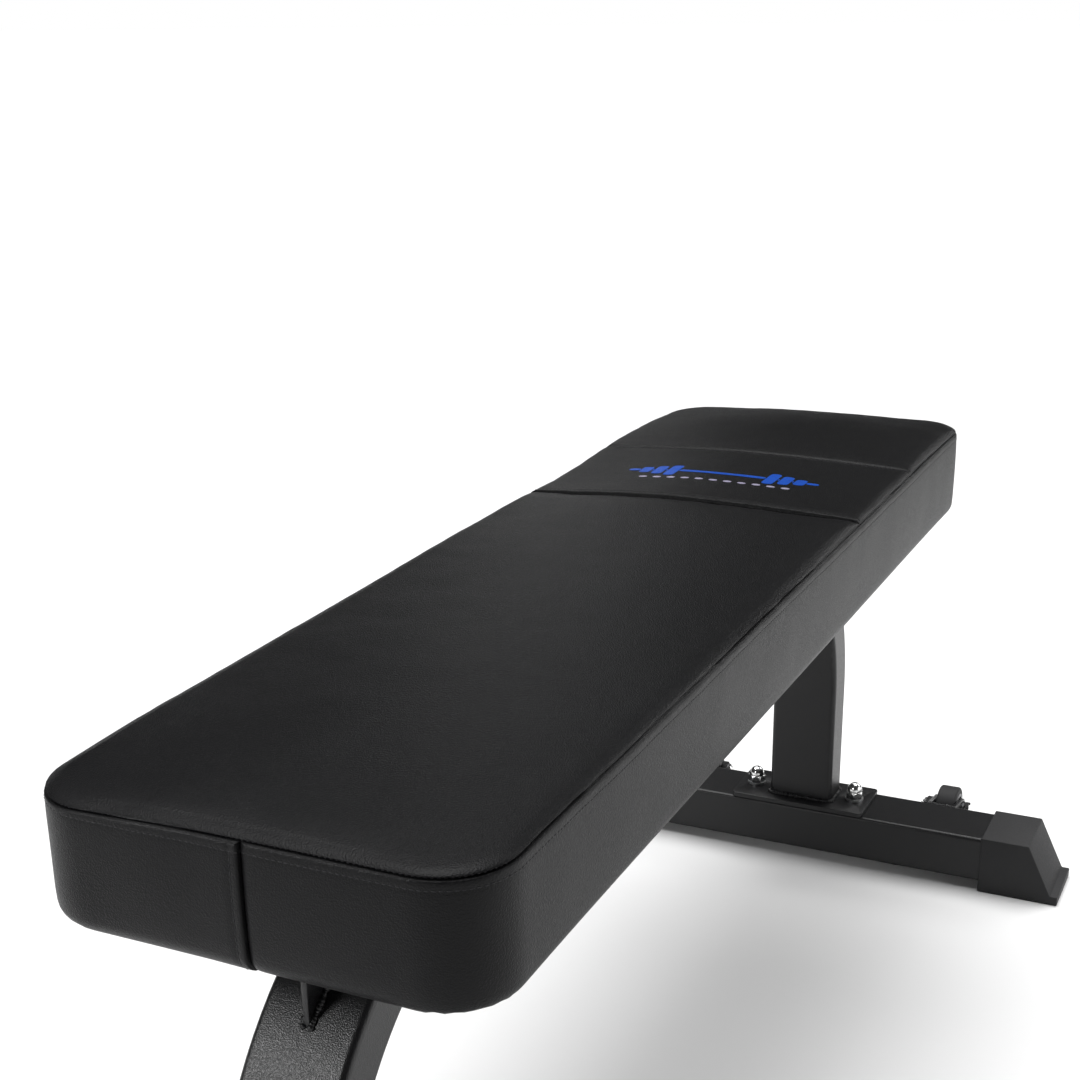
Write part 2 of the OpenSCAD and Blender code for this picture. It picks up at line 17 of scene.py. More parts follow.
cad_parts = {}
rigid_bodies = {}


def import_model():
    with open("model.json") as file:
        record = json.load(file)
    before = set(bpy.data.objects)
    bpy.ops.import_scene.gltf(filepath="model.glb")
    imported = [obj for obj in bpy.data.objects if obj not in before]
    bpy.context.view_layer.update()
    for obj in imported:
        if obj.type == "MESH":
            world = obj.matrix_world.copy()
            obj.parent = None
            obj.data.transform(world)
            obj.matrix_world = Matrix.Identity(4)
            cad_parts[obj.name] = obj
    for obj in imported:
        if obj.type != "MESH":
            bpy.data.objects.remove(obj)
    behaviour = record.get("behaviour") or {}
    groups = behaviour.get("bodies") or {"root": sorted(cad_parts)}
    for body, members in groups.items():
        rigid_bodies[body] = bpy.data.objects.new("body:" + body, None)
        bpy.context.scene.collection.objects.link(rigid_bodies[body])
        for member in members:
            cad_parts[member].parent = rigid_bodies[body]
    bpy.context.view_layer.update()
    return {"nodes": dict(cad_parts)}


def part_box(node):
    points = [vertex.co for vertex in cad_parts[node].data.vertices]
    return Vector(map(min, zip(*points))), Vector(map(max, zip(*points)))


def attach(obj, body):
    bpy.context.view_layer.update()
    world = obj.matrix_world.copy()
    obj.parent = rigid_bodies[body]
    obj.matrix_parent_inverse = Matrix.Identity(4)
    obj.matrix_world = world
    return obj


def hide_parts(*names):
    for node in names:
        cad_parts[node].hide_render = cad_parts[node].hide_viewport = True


for leftover in list(bpy.data.objects):
    bpy.data.objects.remove(leftover)
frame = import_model()
MM = 0.001

# %% [markdown]
# ## Small tools
# Every piece is a mesh in the bench's own place, parented to one moving body. These helpers
# keep the later cells short: some make a mesh, link it and name what it stands for, and
# `add` makes a shader or geometry node and fills its inputs in one call.

# %% Tools for pieces and nodes
def new_mesh(name, verts, edges, faces):
    mesh = bpy.data.meshes.new(name)
    mesh.from_pydata([tuple(v) for v in verts], edges, faces)
    mesh.update()
    return mesh


def put(name, data):
    made = bpy.data.objects.new(name, data)
    bpy.context.scene.collection.objects.link(made)
    return made


def new_piece(name, verts, faces):
    return put(name, new_mesh(name, verts, [], faces))


def dress(piece, finish, body="bench", stands_for=()):
    piece.data.materials.clear()
    piece.data.materials.append(finish)
    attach(piece, body)
    if stands_for:
        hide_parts(*stands_for)
    return piece


def smooth(piece, angle=35):
    mesh = piece.data
    for face in mesh.polygons:
        face.use_smooth = True
    mesh.set_sharp_from_angle(angle=math.radians(angle))
    return piece


def add(tree, kind, settings=None, inputs=None):
    made = tree.nodes.new(kind)
    for key, value in (settings or {}).items():
        setattr(made, key, value)
    for key, value in (inputs or {}).items():
        if isinstance(value, bpy.types.NodeSocket):
            tree.links.new(value, made.inputs[key])
        else:
            made.inputs[key].default_value = value
    return made


# %% [markdown]
# ## Finishes
# A finish is a principled shader with constant values on its own sockets, and noise or cell
# patterns on object coordinates for tone, roughness and bump. Object coordinates keep a
# pattern at its true size in metres: a scale of 900 gives cells about 1.1 mm across.

# %% Parts shared by all finishes
def start_finish(name, **sockets):
    made = bpy.data.materials.new(name)
    made.use_nodes = True
    tree = made.node_tree
    tree.nodes.clear()
    values = {key.replace("_", " ").replace("Ior", "IOR"): value for key, value in sockets.items()}
    skin = add(tree, "ShaderNodeBsdfPrincipled", None, values)
    add(tree, "ShaderNodeOutputMaterial", None, {"Surface": skin.outputs["BSDF"]})
    where = add(tree, "ShaderNodeTexCoord").outputs["Object"]
    return made, tree, skin, where


def cloud(tree, where, scale, detail=2.0, rough=0.5):
    made = add(tree, "ShaderNodeTexNoise", None,
               {"Vector": where, "Scale": scale, "Detail": detail, "Roughness": rough})
    return made.outputs["Fac"]


def spread(tree, factor, low, high):
    made = add(tree, "ShaderNodeMapRange", None,
               {"Value": factor, "From Min": 0.3, "From Max": 0.7, "To Min": low, "To Max": high})
    return made.outputs["Result"]


def tint(tree, factor, dark, light):
    ramp = add(tree, "ShaderNodeValToRGB", None, {"Fac": factor})
    ramp.color_ramp.elements[0].position, ramp.color_ramp.elements[1].position = 0.3, 0.7
    ramp.color_ramp.elements[0].color = (*dark, 1)
    ramp.color_ramp.elements[1].color = (*light, 1)
    return ramp.outputs["Color"]


def bump(tree, skin, *layers):
    below = None
    for height, strength, depth in layers:
        inputs = {"Height": height, "Strength": strength, "Distance": depth}
        if below is not None:
            inputs["Normal"] = below
        below = add(tree, "ShaderNodeBump", None, inputs).outputs["Normal"]
    tree.links.new(below, skin.inputs["Normal"])


def grained(name, dark, light, rough, grain, relief, sweep=9.0, **sockets):
    """A satin skin: tone and roughness drift slowly, and small cells give the grain."""
    made, tree, skin, where = start_finish(name, **sockets)
    slow = cloud(tree, where, sweep, 3.0)
    fine = cloud(tree, where, grain * 0.9, 3.0, 0.6)
    drift = add(tree, "ShaderNodeMath", {"operation": "MULTIPLY"}, {0: slow, 1: 0.4})
    tone = add(tree, "ShaderNodeMath", {"operation": "MULTIPLY_ADD"},
               {0: fine, 1: 0.6, 2: drift.outputs[0]}).outputs[0]
    cells = add(tree, "ShaderNodeTexVoronoi", {"feature": "SMOOTH_F1"},
                {"Vector": where, "Scale": grain, "Smoothness": 0.6}).outputs["Distance"]
    tree.links.new(tint(tree, tone, dark, light), skin.inputs["Base Color"])
    tree.links.new(spread(tree, fine, *rough), skin.inputs["Roughness"])
    bump(tree, skin, (cells, relief, 0.0004), (fine, relief * 0.6, 0.0003))
    return made


def plated(name, dark, light, rough, brush):
    """Plated steel: a metal with faint streaks across it and a slow change of polish."""
    made, tree, skin, where = start_finish(name, Metallic=1.0)
    squeezed = add(tree, "ShaderNodeMapping", None,
                   {"Vector": where, "Scale": (1.0, 1.0, 9.0)}).outputs["Vector"]
    streak = cloud(tree, squeezed, brush, 3.0)
    slow = cloud(tree, where, 120.0)
    tree.links.new(tint(tree, slow, dark, light), skin.inputs["Base Color"])
    tree.links.new(spread(tree, streak, *rough), skin.inputs["Roughness"])
    bump(tree, skin, (streak, 0.12, 0.0002))
    return made


# %% The bench's finishes
vinyl = grained("vinyl", (0.0032, 0.0032, 0.0036), (0.0052, 0.0052, 0.0057), (0.32, 0.50),
                1050.0, 0.62, Specular_Ior_Level=0.13)
thread = grained("polyester_thread", (0.008, 0.008, 0.009), (0.016, 0.016, 0.018), (0.5, 0.65),
                 2600.0, 0.3, Specular_Ior_Level=0.3)
frame_paint = grained("black_powder_coat", (0.0055, 0.0055, 0.006), (0.008, 0.008, 0.0088),
                      (0.27, 0.42), 1250.0, 0.40, 14.0, Specular_Ior_Level=0.36)
foot_rubber = grained("foot_rubber", (0.017, 0.017, 0.018), (0.026, 0.026, 0.027), (0.55, 0.72),
                      640.0, 0.30, 22.0, Specular_Ior_Level=0.32)
tyre_rubber = grained("tyre_rubber", (0.012, 0.012, 0.013), (0.02, 0.02, 0.021), (0.6, 0.75),
                      900.0, 0.15, 40.0, Specular_Ior_Level=0.35)
hub_plastic = grained("hub_plastic", (0.16, 0.16, 0.165), (0.21, 0.21, 0.215), (0.4, 0.52),
                      1200.0, 0.06, 60.0)
dust_cloth = grained("dust_cloth", (0.010, 0.010, 0.011), (0.022, 0.022, 0.023), (0.85, 0.95),
                     420.0, 0.5, 30.0, Sheen_Weight=0.25, Sheen_Roughness=0.5)
blue_print = grained("blue_print", (0.003, 0.045, 0.30), (0.006, 0.075, 0.44), (0.38, 0.48),
                     900.0, 0.25, 60.0, Specular_Ior_Level=0.2)
pale_print = grained("pale_print", (0.24, 0.22, 0.32), (0.36, 0.34, 0.44), (0.4, 0.5),
                     900.0, 0.25, 60.0, Specular_Ior_Level=0.2)
zinc = plated("zinc_plate", (0.50, 0.51, 0.52), (0.62, 0.63, 0.62), (0.26, 0.40), 900.0)
bright_plate = plated("bright_plate", (0.70, 0.71, 0.72), (0.84, 0.84, 0.83), (0.12, 0.22), 700.0)
black_zinc = plated("black_zinc", (0.05, 0.05, 0.052), (0.09, 0.09, 0.092), (0.35, 0.5), 900.0)
staple_steel = plated("staple_steel", (0.45, 0.45, 0.46), (0.6, 0.6, 0.6), (0.3, 0.45), 600.0)


def layered_board():
    made, tree, skin, where = start_finish("plywood", Specular_Ior_Level=0.35)
    plies = add(tree, "ShaderNodeTexWave", {"bands_direction": "Z"},
                {"Vector": where, "Scale": 95.0, "Distortion": 1.5, "Detail": 2.0}).outputs["Fac"]
    drawn_out = add(tree, "ShaderNodeMapping", None,
                    {"Vector": where, "Scale": (1.0, 12.0, 12.0)}).outputs["Vector"]
    fibres = cloud(tree, drawn_out, 60.0, 4.0)
    wood = tint(tree, plies, (0.34, 0.22, 0.12), (0.52, 0.37, 0.21))
    tree.links.new(wood, skin.inputs["Base Color"])
    tree.links.new(spread(tree, fibres, 0.55, 0.75), skin.inputs["Roughness"])
    bump(tree, skin, (fibres, 0.3, 0.0005))
    return made


plywood = layered_board()
print(len(bpy.data.materials), "finishes")

# %% [markdown]
# ## The pad's surface
# A top panel is sewn to a side band, and the band is rolled under a board and stapled. So
# that its seams stay sharp, the pad is laid out as a net: rows and columns over the top,
# then rings down the roll, the seam groove, the band, the rolled bottom edge and the part
# that is turned under. Rows and columns crowd together where a seam folds.

# %% Sizes of the pad
band_low, band_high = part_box("cover_side_band")
strip_low, strip_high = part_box("cover_headrest_strip")
pad_x = (band_low.x + band_high.x) / 2
half_l, half_w = (band_high.x - band_low.x) / 2, (band_high.y - band_low.y) / 2
floor_z = band_low.z
seam_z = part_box("cover_main_panel")[1].z - 8 * MM
strip_a, strip_b = strip_low.x - pad_x, strip_high.x - pad_x
CORNER, ROLL = 45 * MM, 9 * MM  # radius of the outline's corners, width of the top's roll
FOOT_ROLL = 12  # radius of the rolled bottom edge, in mm
ROLL_RISE, DOME = 4.0 * MM, 3.6 * MM  # height of the roll, and of the top over it
FLAP_Y = -4.5 * MM  # where the band's ends meet on the foot end
EDGE_FOLD = 0.5  # how much shallower the strip's seams are at the pad's edge
print("pad", round(half_l * 2 / MM), "x", round(half_w * 2 / MM), "seam at", round(seam_z / MM))

# %% Folds of the seams, in millimetres of rise against distance
NEAR_SEAM = [(-90, 0), (-55, 0.2), (-30, 0.3), (-16, -0.4), (-9, -1.4), (-5, -2.4), (-2.6, -3.6),
             (-1.1, -5.0), (-0.35, -5.8), (0.05, -5.2), (0.3, -1.6), (0.8, -0.6), (1.8, -0.3),
             (3.6, -0.5), (4.6, -1.0), (5.8, -0.6), (12, -0.7), (40, -1.6)]
FAR_SEAM = [(-40, -1.6), (-9, -1.0), (-6, -1.2), (-4.8, -1.7), (-3.6, -1.2), (-1.6, -1.5),
            (-0.5, -2.7), (0, -3.1), (0.6, -2.2), (1.8, -1.1), (5, -0.7), (12, -0.1), (30, 0)]
FLAP = [(-14, 0), (-5, -0.3), (-2.2, -0.9), (-0.9, -1.9), (-0.3, -2.6), (0.2, -0.2), (0.6, 0.9),
        (1.4, 1.1), (4.2, 1.0), (5.4, 0.5), (6.6, 0.8), (12, 0.6), (30, 0)]


def along(points, at):
    """Height of a folded line at a place, straight between its points."""
    if at <= points[0][0]:
        return points[0][1]
    for (x0, y0), (x1, y1) in zip(points, points[1:]):
        if at < x1:
            return y0 + (y1 - y0) * (at - x0) / (x1 - x0)
    return points[-1][1]


def ease(value, low, high):
    t = min(max((value - low) / (high - low), 0.0), 1.0)
    return t * t * (3 - 2 * t)


def strip_fold(x):
    far = (x - strip_b) / MM
    if far > FAR_SEAM[0][0]:
        return along(FAR_SEAM, far) * MM
    return along(NEAR_SEAM, (x - strip_a) / MM) * MM


# %% Rows, columns and rings of the net
def spaced(low, high, step):
    count = max(1, round((high - low) / step))
    return [low + (high - low) * i / count for i in range(count + 1)]


def crowd(values, centre, bends):
    """Replaces evenly spaced values round a seam by the places where its fold bends."""
    own = [centre + at for at in bends]
    return sorted([v for v in values if not own[0] - 2 * MM < v < own[-1] + 2 * MM] + own)


def net_rows(step, fine):
    straight = half_l - CORNER
    xs = spaced(-straight, straight, step)
    if fine:
        for centre, folds in ((strip_a, NEAR_SEAM), (strip_b, FAR_SEAM)):
            xs = crowd(xs, centre, [at * MM for at, rise in folds if abs(at) < 20])
    arcs = range(1, 13 if fine else 7)
    turn = math.pi / 2 / arcs[-1]
    rows = [(x, half_w - ROLL, 0.0) for x in xs]
    for angle in [side * k * turn for k in arcs for side in (-1, 1)]:
        x = math.copysign(straight, angle) + (CORNER - ROLL) * math.sin(angle)
        rows.append((x, half_w - CORNER + (CORNER - ROLL) * math.cos(angle), angle))
    return sorted(rows)


def net_columns(step, fine):
    flat = half_w - CORNER
    vs = spaced(-1.0, 1.0, step / flat)
    if fine:
        vs = crowd(vs, FLAP_Y / flat, [at * MM / flat for at, rise in FLAP if abs(at) < 13])
    return vs


def net_rings(fine):
    """Each ring in mm: inset from the outline, height over the seam, how much of the strip's
    folds and of the flap shows on it, and whether a seam or the board holds it still."""
    deep = (seam_z - floor_z) / MM
    rings = []
    for k in range(1, 7):
        a = math.radians(15 * k)
        rings.append((9 - 8.1 * math.sin(a), 0.9 + 3.1 * math.cos(a), 1 - (k / 6) ** 2, 0, 0))
    if fine:
        rings += [(1.5, 0.30, 0, 0, 1), (3.4, 0.0, 0, 0, 1), (3.2, -0.7, 0, 0, 1),
                  (1.0, -1.2, 0, 0.3, 1), (0.4, -1.7, 0, 0.8, 0), (0.05, -3.0, 0, 1, 0),
                  (-0.05, -5.0, 0, 1, 0), (-0.05, -6.6, 0, 1, 0), (0.15, -7.5, 0, 1, 0),
                  (0.2, -8.1, 0, 1, 0), (0.05, -9.1, 0, 1, 0), (-0.05, -12, 0, 1, 0)]
    else:
        rings += [(1.0, 0.0, 0, 0, 1), (0.0, -4.0, 0, 0, 0)]
    low = -deep + FOOT_ROLL
    steps = 8 if fine else 6
    for k in range(1, steps):
        rings.append((-0.2, -12 + (low + 12) * k / steps, 0, 1, 0))
    for k in range(9):
        a = math.radians(11.25 * k)
        inset, rise = FOOT_ROLL * (1 - math.cos(a)), low - FOOT_ROLL * math.sin(a)
        rings.append((inset, rise, 0, 1 - k / 16, k > 5))
    rings += [(18, -deep, 0, 0.45, 1), (24, -deep + 0.3, 0, 0.4, 1), (30, -deep + 1.0, 0, 0.2, 1),
              (40, -deep + 1.0, 0, 0, 1), (40.5, -deep + 2.4, 0, 0, 1)]
    return rings


# %% [markdown]
# One function lays out two nets: a coarse even one for the cloth solver, which dislikes tiny
# edges, and the fine one that is kept. Every ring has the rim's points, so a seam follows
# the outline exactly.

# %% Lay out a net
def lay_net(name, step, fine):
    rows, columns, rings = net_rows(step, fine), net_columns(step, fine), net_rings(fine)
    last, wide = len(rows) - 1, len(columns) - 1
    verts, faces, held = [], [], []

    def top_height(x, v):
        length = 1 - abs(x / (half_l - ROLL)) ** 12
        shallow = 1 - EDGE_FOLD * ease(abs(v), 0.7, 1.0)
        return ROLL_RISE + DOME * (1 - v * v) * length + (strip_fold(x) * shallow if fine else 0.0)

    for x, reach, angle in rows:
        for v in columns:
            verts.append(Vector((pad_x + x, v * reach, seam_z + top_height(x, v))))
            on_seam = min(abs(x - strip_a), abs(x - strip_b)) < step * 0.6
            held.append(0.8 if on_seam and not fine else 0.0)
    for i in range(last):
        for j in range(wide):
            a = i * (wide + 1) + j
            faces.append((a, a + wide + 1, a + wide + 2, a + 1))

    rim = [(i, 0) for i in range(last + 1)] + [(last, j) for j in range(1, wide + 1)]
    rim += [(i, wide) for i in range(last - 1, -1, -1)] + [(0, j) for j in range(wide - 1, 0, -1)]

    def rim_point(i, j, inset, flap):
        x, reach, angle = rows[i]
        if i in (0, last) and 0 < j < wide:
            side = -1 if i == 0 else 1
            y = columns[j] * (half_w - CORNER)
            out = along(FLAP, (y - FLAP_Y) / MM) * MM * flap if side < 0 else 0.0
            return side * (half_l - inset + out), y
        side = -1 if j == 0 else 1
        if angle == 0.0:
            return x, side * (half_w - inset)
        end = math.copysign(half_l - CORNER, angle)
        return (end + (CORNER - inset) * math.sin(angle),
                side * (half_w - CORNER + (CORNER - inset) * math.cos(angle)))

    loop = [i * (wide + 1) + j for i, j in rim]
    count = len(rim)
    loops = [loop]
    for inset, rise, fold, flap, seam in rings:
        first = len(verts)
        for i, j in rim:
            x, y = rim_point(i, j, inset * MM, flap)
            dip = strip_fold(rows[i][0]) * fold * (1 - EDGE_FOLD) if fine and 0 < i < last else 0.0
            verts.append(Vector((pad_x + x, y, seam_z + rise * MM + dip)))
            held.append(float(seam))
        loops.append(list(range(first, first + count)))
    for upper, lower in zip(loops, loops[1:]):
        for k in range(count):
            n = (k + 1) % count
            faces.append((upper[k], lower[k], lower[n], upper[n]))
    faces.append(tuple(reversed(loops[-1])))
    return new_piece(name, verts, faces), held, loops, rim, rows, columns


cover, _, loops, rim, rows, columns = lay_net("pad_cover", 7 * MM, True)
print("cover net", len(cover.data.polygons), "faces,", len(rows), "rows,", len(columns), "columns")

# %% [markdown]
# ## Letting the cover swell
# Foam pushes the cover out wherever no seam holds it. The cloth solver gives that swelling:
# the coarse net is pinned at its seams and blown up a little. Its movement is capped, because
# a bench pad is firm, and smoothed, because foam bridges small wrinkles. It is then carried
# over to the fine net from the nearest face.

# %% Simulate the coarse net
SWELL_CAP, SWELL_STEPS = 2.0 * MM, 20


def evened(mesh, moves, held, rounds=14):
    """Moves lean to the mean of their neighbours', except where the net is held."""
    beside = [[] for _ in moves]
    for a, b in (edge.vertices for edge in mesh.edges):
        beside[a].append(b)
        beside[b].append(a)
    for _ in range(rounds):
        means = [sum((moves[n] for n in near), Vector()) / len(near) for near in beside]
        moves = [move if pin == 1.0 else move.lerp(mean, 0.6)
                 for move, mean, pin in zip(moves, means, held)]
    return moves


def swell_of():
    coarse, held, *_ = lay_net("swell_net", 11 * MM, False)
    pins = coarse.vertex_groups.new(name="held")
    for index, weight in enumerate(held):
        pins.add([index], weight, "REPLACE")
    rest = [v.co.copy() for v in coarse.data.vertices]
    faces = [tuple(p.vertices) for p in coarse.data.polygons]
    cloth = coarse.modifiers.new("cloth", "CLOTH")
    cloth.settings.quality = 5
    cloth.settings.mass = 0.3
    cloth.settings.tension_stiffness = cloth.settings.compression_stiffness = 25
    cloth.settings.bending_stiffness = 2.0
    cloth.settings.use_pressure = True
    cloth.settings.uniform_pressure_force = 4.0
    cloth.settings.vertex_group_mass = "held"
    cloth.settings.effector_weights.gravity = 0.0
    cloth.collision_settings.use_collision = False
    cloth.point_cache.frame_start, cloth.point_cache.frame_end = 1, SWELL_STEPS
    scene = bpy.context.scene
    for step in range(1, SWELL_STEPS + 1):
        scene.frame_set(step)
    bpy.context.view_layer.update()
    swollen = coarse.evaluated_get(bpy.context.evaluated_depsgraph_get()).data
    moves = []
    for before, after in zip(rest, swollen.vertices):
        move = after.co - before
        moves.append(move * (SWELL_CAP / math.hypot(SWELL_CAP, move.length)))
    moves = evened(coarse.data, moves, held)
    scene.frame_set(1)
    bpy.data.objects.remove(coarse)
    print("largest swelling", round(max(m.length for m in moves) / MM, 2), "mm")
    return rest, faces, moves


rest, coarse_faces, moves = swell_of()
coarse_skin = BVHTree.FromPolygons(rest, coarse_faces)


def swell_at(point):
    spot, _, index, _ = coarse_skin.find_nearest(point)
    ring = coarse_faces[index]
    if len(ring) > 4:
        return Vector()
    weights = poly_3d_calc([rest[i] for i in ring], spot)
    return sum((moves[i] * w for i, w in zip(ring, weights)), Vector())


# %% [markdown]
# Real vinyl is never quite even. Slow noise lets the top roll by half a millimetre, and small
# gathers stand along the seams, where the needle draws the cover in. The foam gives way
# along the left edge and at both ends, and most beside the headrest strip, which is sewn on
# tighter. Under the board the four corners are gathered into small pleats.

# %% Shape the fine net
def wave(point, scale, seed):
    return noise.noise(point * scale + Vector((seed, seed * 0.37, seed * 1.91)))


def shape_cover():
    mesh = cover.data
    normals = [v.normal.copy() for v in mesh.vertices]
    strip_mid = (strip_a + strip_b) / 2 - 30 * MM
    for vertex in mesh.vertices:
        p, n = vertex.co.copy(), normals[vertex.index]
        x, y, over = p.x - pad_x, p.y, p.z - seam_z
        open_air = ease(p.z - floor_z, 2 * MM, 22 * MM)
        near_seam = math.exp(-abs(over) / (6 * MM)) \
            + 0.8 * math.exp(-abs(x - strip_a) / (9 * MM)) \
            + 0.5 * math.exp(-abs(x - strip_b) / (8 * MM))
        move = swell_at(p)
        move += n * (wave(p, 9, 3.0) * 0.9 + wave(p, 26, 8.0) * 0.25) * MM * open_air
        gather = wave(Vector((p.x, p.y, 0)), 70, 5.0) * min(near_seam, 1.0)
        move += n * gather * 0.55 * MM * open_air
        left = ease(y / half_w, 0.0, 0.95)
        tight = left * math.exp(-((x - strip_mid) / 0.085) ** 2)
        ends = 0.5 * ease(abs(x) / half_l, 0.8, 1.0) + 0.5 * ease(x / half_l, 0.6, 1.0)
        slack = 2.2 * left + 3.0 * tight + 2.6 * ends + 3.2 * left * ends
        move += Vector((0, -1.6 * MM * tight, -slack * MM)) * ease(over, -14 * MM, 3 * MM)
        under = ease(floor_z + 6 * MM - p.z, 0.0, 5 * MM)
        corner = ease(abs(x), half_l - CORNER, half_l - CORNER + 8 * MM) \
            * ease(abs(y), half_w - CORNER, half_w - CORNER + 8 * MM)
        turn = math.atan2(abs(y) - (half_w - CORNER), abs(x) - (half_l - CORNER))
        move.z += under * corner * (0.7 + 0.7 * math.cos(turn * 22)) * MM
        vertex.co = p + move
    filler = bmesh.new()
    filler.from_mesh(mesh)
    bmesh.ops.triangulate(filler, faces=[f for f in filler.faces if len(f.verts) > 4])
    filler.to_mesh(mesh)
    filler.free()
    mesh.update()
    smooth(cover, 60)


shape_cover()
dress(cover, vinyl, stands_for=(
    "cover_main_panel", "cover_headrest_strip", "cover_end_panel", "cover_side_band", "pad_foam"))
cover_skin = BVHTree.FromPolygons([v.co for v in cover.data.vertices],
                                  [tuple(p.vertices) for p in cover.data.polygons])
print("cover", len(cover.data.polygons), "faces, top at",
      round(max(v.co.z for v in cover.data.vertices) / MM, 1), "mm")

# %% [markdown]
# ## Stitches, welds and staples: things set out along a path
# A row of stitches and a weld bead are both one small shape repeated along a line. One tree
# does both. It turns a chain of edges into a curve, resamples it at the wanted pitch, stands
# a small rounded shape on every point and makes the copies real.

# %% The tree that sets beads along a path
def new_tree(name, inputs):
    tree = bpy.data.node_groups.new(name, "GeometryNodeTree")
    tree.interface.new_socket("Geometry", in_out="INPUT", socket_type="NodeSocketGeometry")
    for label, kind, value in inputs:
        made = tree.interface.new_socket(label, in_out="INPUT", socket_type=kind)
        if value is not None:
            made.default_value = value
    tree.interface.new_socket("Geometry", in_out="OUTPUT", socket_type="NodeSocketGeometry")
    return tree, add(tree, "NodeGroupInput").outputs


def evenly_along(tree, given):
    """Points at the wanted pitch along the given edges, and the way the path heads there."""
    curve = add(tree, "GeometryNodeMeshToCurve", None, {"Mesh": given["Geometry"]})
    even = add(tree, "GeometryNodeResampleCurve", {"mode": "LENGTH"},
               {"Curve": curve.outputs["Curve"], "Length": given["Pitch"]})
    tangent = add(tree, "GeometryNodeInputTangent").outputs["Tangent"]
    heading = add(tree, "FunctionNodeAlignRotationToVector", {"axis": "Z"}, {"Vector": tangent})
    return even.outputs["Curve"], heading.outputs["Rotation"]


def copies(tree, points, one, rotation, **more):
    made = add(tree, "GeometryNodeInstanceOnPoints", None,
               {"Points": points, "Instance": one, "Rotation": rotation, **more})
    return made.outputs["Instances"]


def close_tree(tree, instances):
    real = add(tree, "GeometryNodeRealizeInstances", None, {"Geometry": instances})
    add(tree, "NodeGroupOutput", None, {"Geometry": real.outputs["Geometry"]})
    return tree


def beads_tree():
    tree, given = new_tree("beads_along_path", [
        ("Pitch", "NodeSocketFloat", 0.004), ("Long", "NodeSocketFloat", 0.003),
        ("Thick", "NodeSocketFloat", 0.0005), ("Uneven", "NodeSocketFloat", 0.1),
        ("Lean", "NodeSocketFloat", 0.0), ("Seed", "NodeSocketInt", 1)])
    points, heading = evenly_along(tree, given)
    ball = add(tree, "GeometryNodeMeshUVSphere", None, {"Segments": 6, "Rings": 5, "Radius": 0.5})
    size = add(tree, "ShaderNodeCombineXYZ", None,
               {"X": given["Thick"], "Y": given["Thick"], "Z": given["Long"]})
    shaped = add(tree, "GeometryNodeTransform", None,
                 {"Geometry": ball.outputs["Mesh"], "Scale": size.outputs["Vector"]})
    soft = add(tree, "GeometryNodeSetShadeSmooth", None, {"Geometry": shaped.outputs["Geometry"]})
    tilt = add(tree, "ShaderNodeCombineXYZ", None, {"Y": given["Lean"]})
    lean = add(tree, "FunctionNodeRotateRotation", {"rotation_space": "LOCAL"},
               {"Rotation": heading, "Rotate By": tilt.outputs["Vector"]})
    least = add(tree, "ShaderNodeMath", {"operation": "SUBTRACT"}, {0: 1.0, 1: given["Uneven"]})
    most = add(tree, "ShaderNodeMath", {"operation": "ADD"}, {0: 1.0, 1: given["Uneven"]})
    vary = add(tree, "FunctionNodeRandomValue", {"data_type": "FLOAT"},
               {2: least.outputs[0], 3: most.outputs[0], "Seed": given["Seed"]})
    return close_tree(tree, copies(tree, points, soft.outputs["Geometry"],
                                   lean.outputs["Rotation"], Scale=vary.outputs[1]))


def grow(name, tree, source, values):
    """Runs a tree on a mesh and keeps the result as a plain mesh object."""
    carrier = put(name, source)
    worker = carrier.modifiers.new("tree", "NODES")
    worker.node_group = tree
    for item in tree.interface.items_tree:
        if item.item_type == "SOCKET" and item.in_out == "INPUT" and item.name in values:
            worker[item.identifier] = values[item.name]
    bpy.context.view_layer.update()
    ready = carrier.evaluated_get(bpy.context.evaluated_depsgraph_get())
    mesh = bpy.data.meshes.new_from_object(ready)
    carrier.modifiers.remove(worker)
    carrier.data = mesh
    mesh.name = name
    print(name, len(mesh.polygons), "faces")
    return carrier


def paths_mesh(name, paths):
    """One mesh of edge chains; a path is its points and whether it closes on itself."""
    verts, edges = [], []
    for points, closed in paths:
        first = len(verts)
        verts += points
        edges += [(first + k, first + k + 1) for k in range(len(points) - 1)]
        if closed:
            edges.append((len(verts) - 1, first))
    return new_mesh(name, verts, edges, [])


beads = beads_tree()

# %% [markdown]
# ## Stitching
# The seams are sewn with black thread: lock stitches deep in the groove under the top panel,
# a topstitch on the band below it, one each side of the headrest strip and one beside the
# flap on the foot end. Each row follows points of the finished cover, a hair above it.

# %% Sew the seams
# Rings of the net, counted outward and down from the rim of the top.
SEAM_RING, GROOVE_RING, TOPSTITCH_RING, FLAP_RING = 7, 9, 15, 16
RINGS_UNDER = 6
cover_points = [v.co.copy() for v in cover.data.vertices]
cover_out = [v.normal.copy() for v in cover.data.vertices]


def lifted(indices, lift):
    return [cover_points[i] + cover_out[i] * lift for i in indices]


def across_path(x_at):
    i = min(range(len(rows)), key=lambda k: abs(rows[k][0] - x_at))
    wide = len(columns)
    right, left = rim.index((i, 0)), rim.index((i, wide - 1))
    path = [loops[r][right] for r in range(SEAM_RING, 0, -1)]
    path += [i * wide + j for j in range(wide)]
    path += [loops[r][left] for r in range(1, SEAM_RING + 1)]
    return lifted(path, 0.1 * MM)


def flap_path():
    target = (FLAP_Y + 5.4 * MM) / (half_w - CORNER)
    j = min(range(len(columns)), key=lambda k: abs(columns[k] - target))
    k = rim.index((0, j))
    return lifted([loop[k] for loop in loops[FLAP_RING:-RINGS_UNDER]], 0.1 * MM)


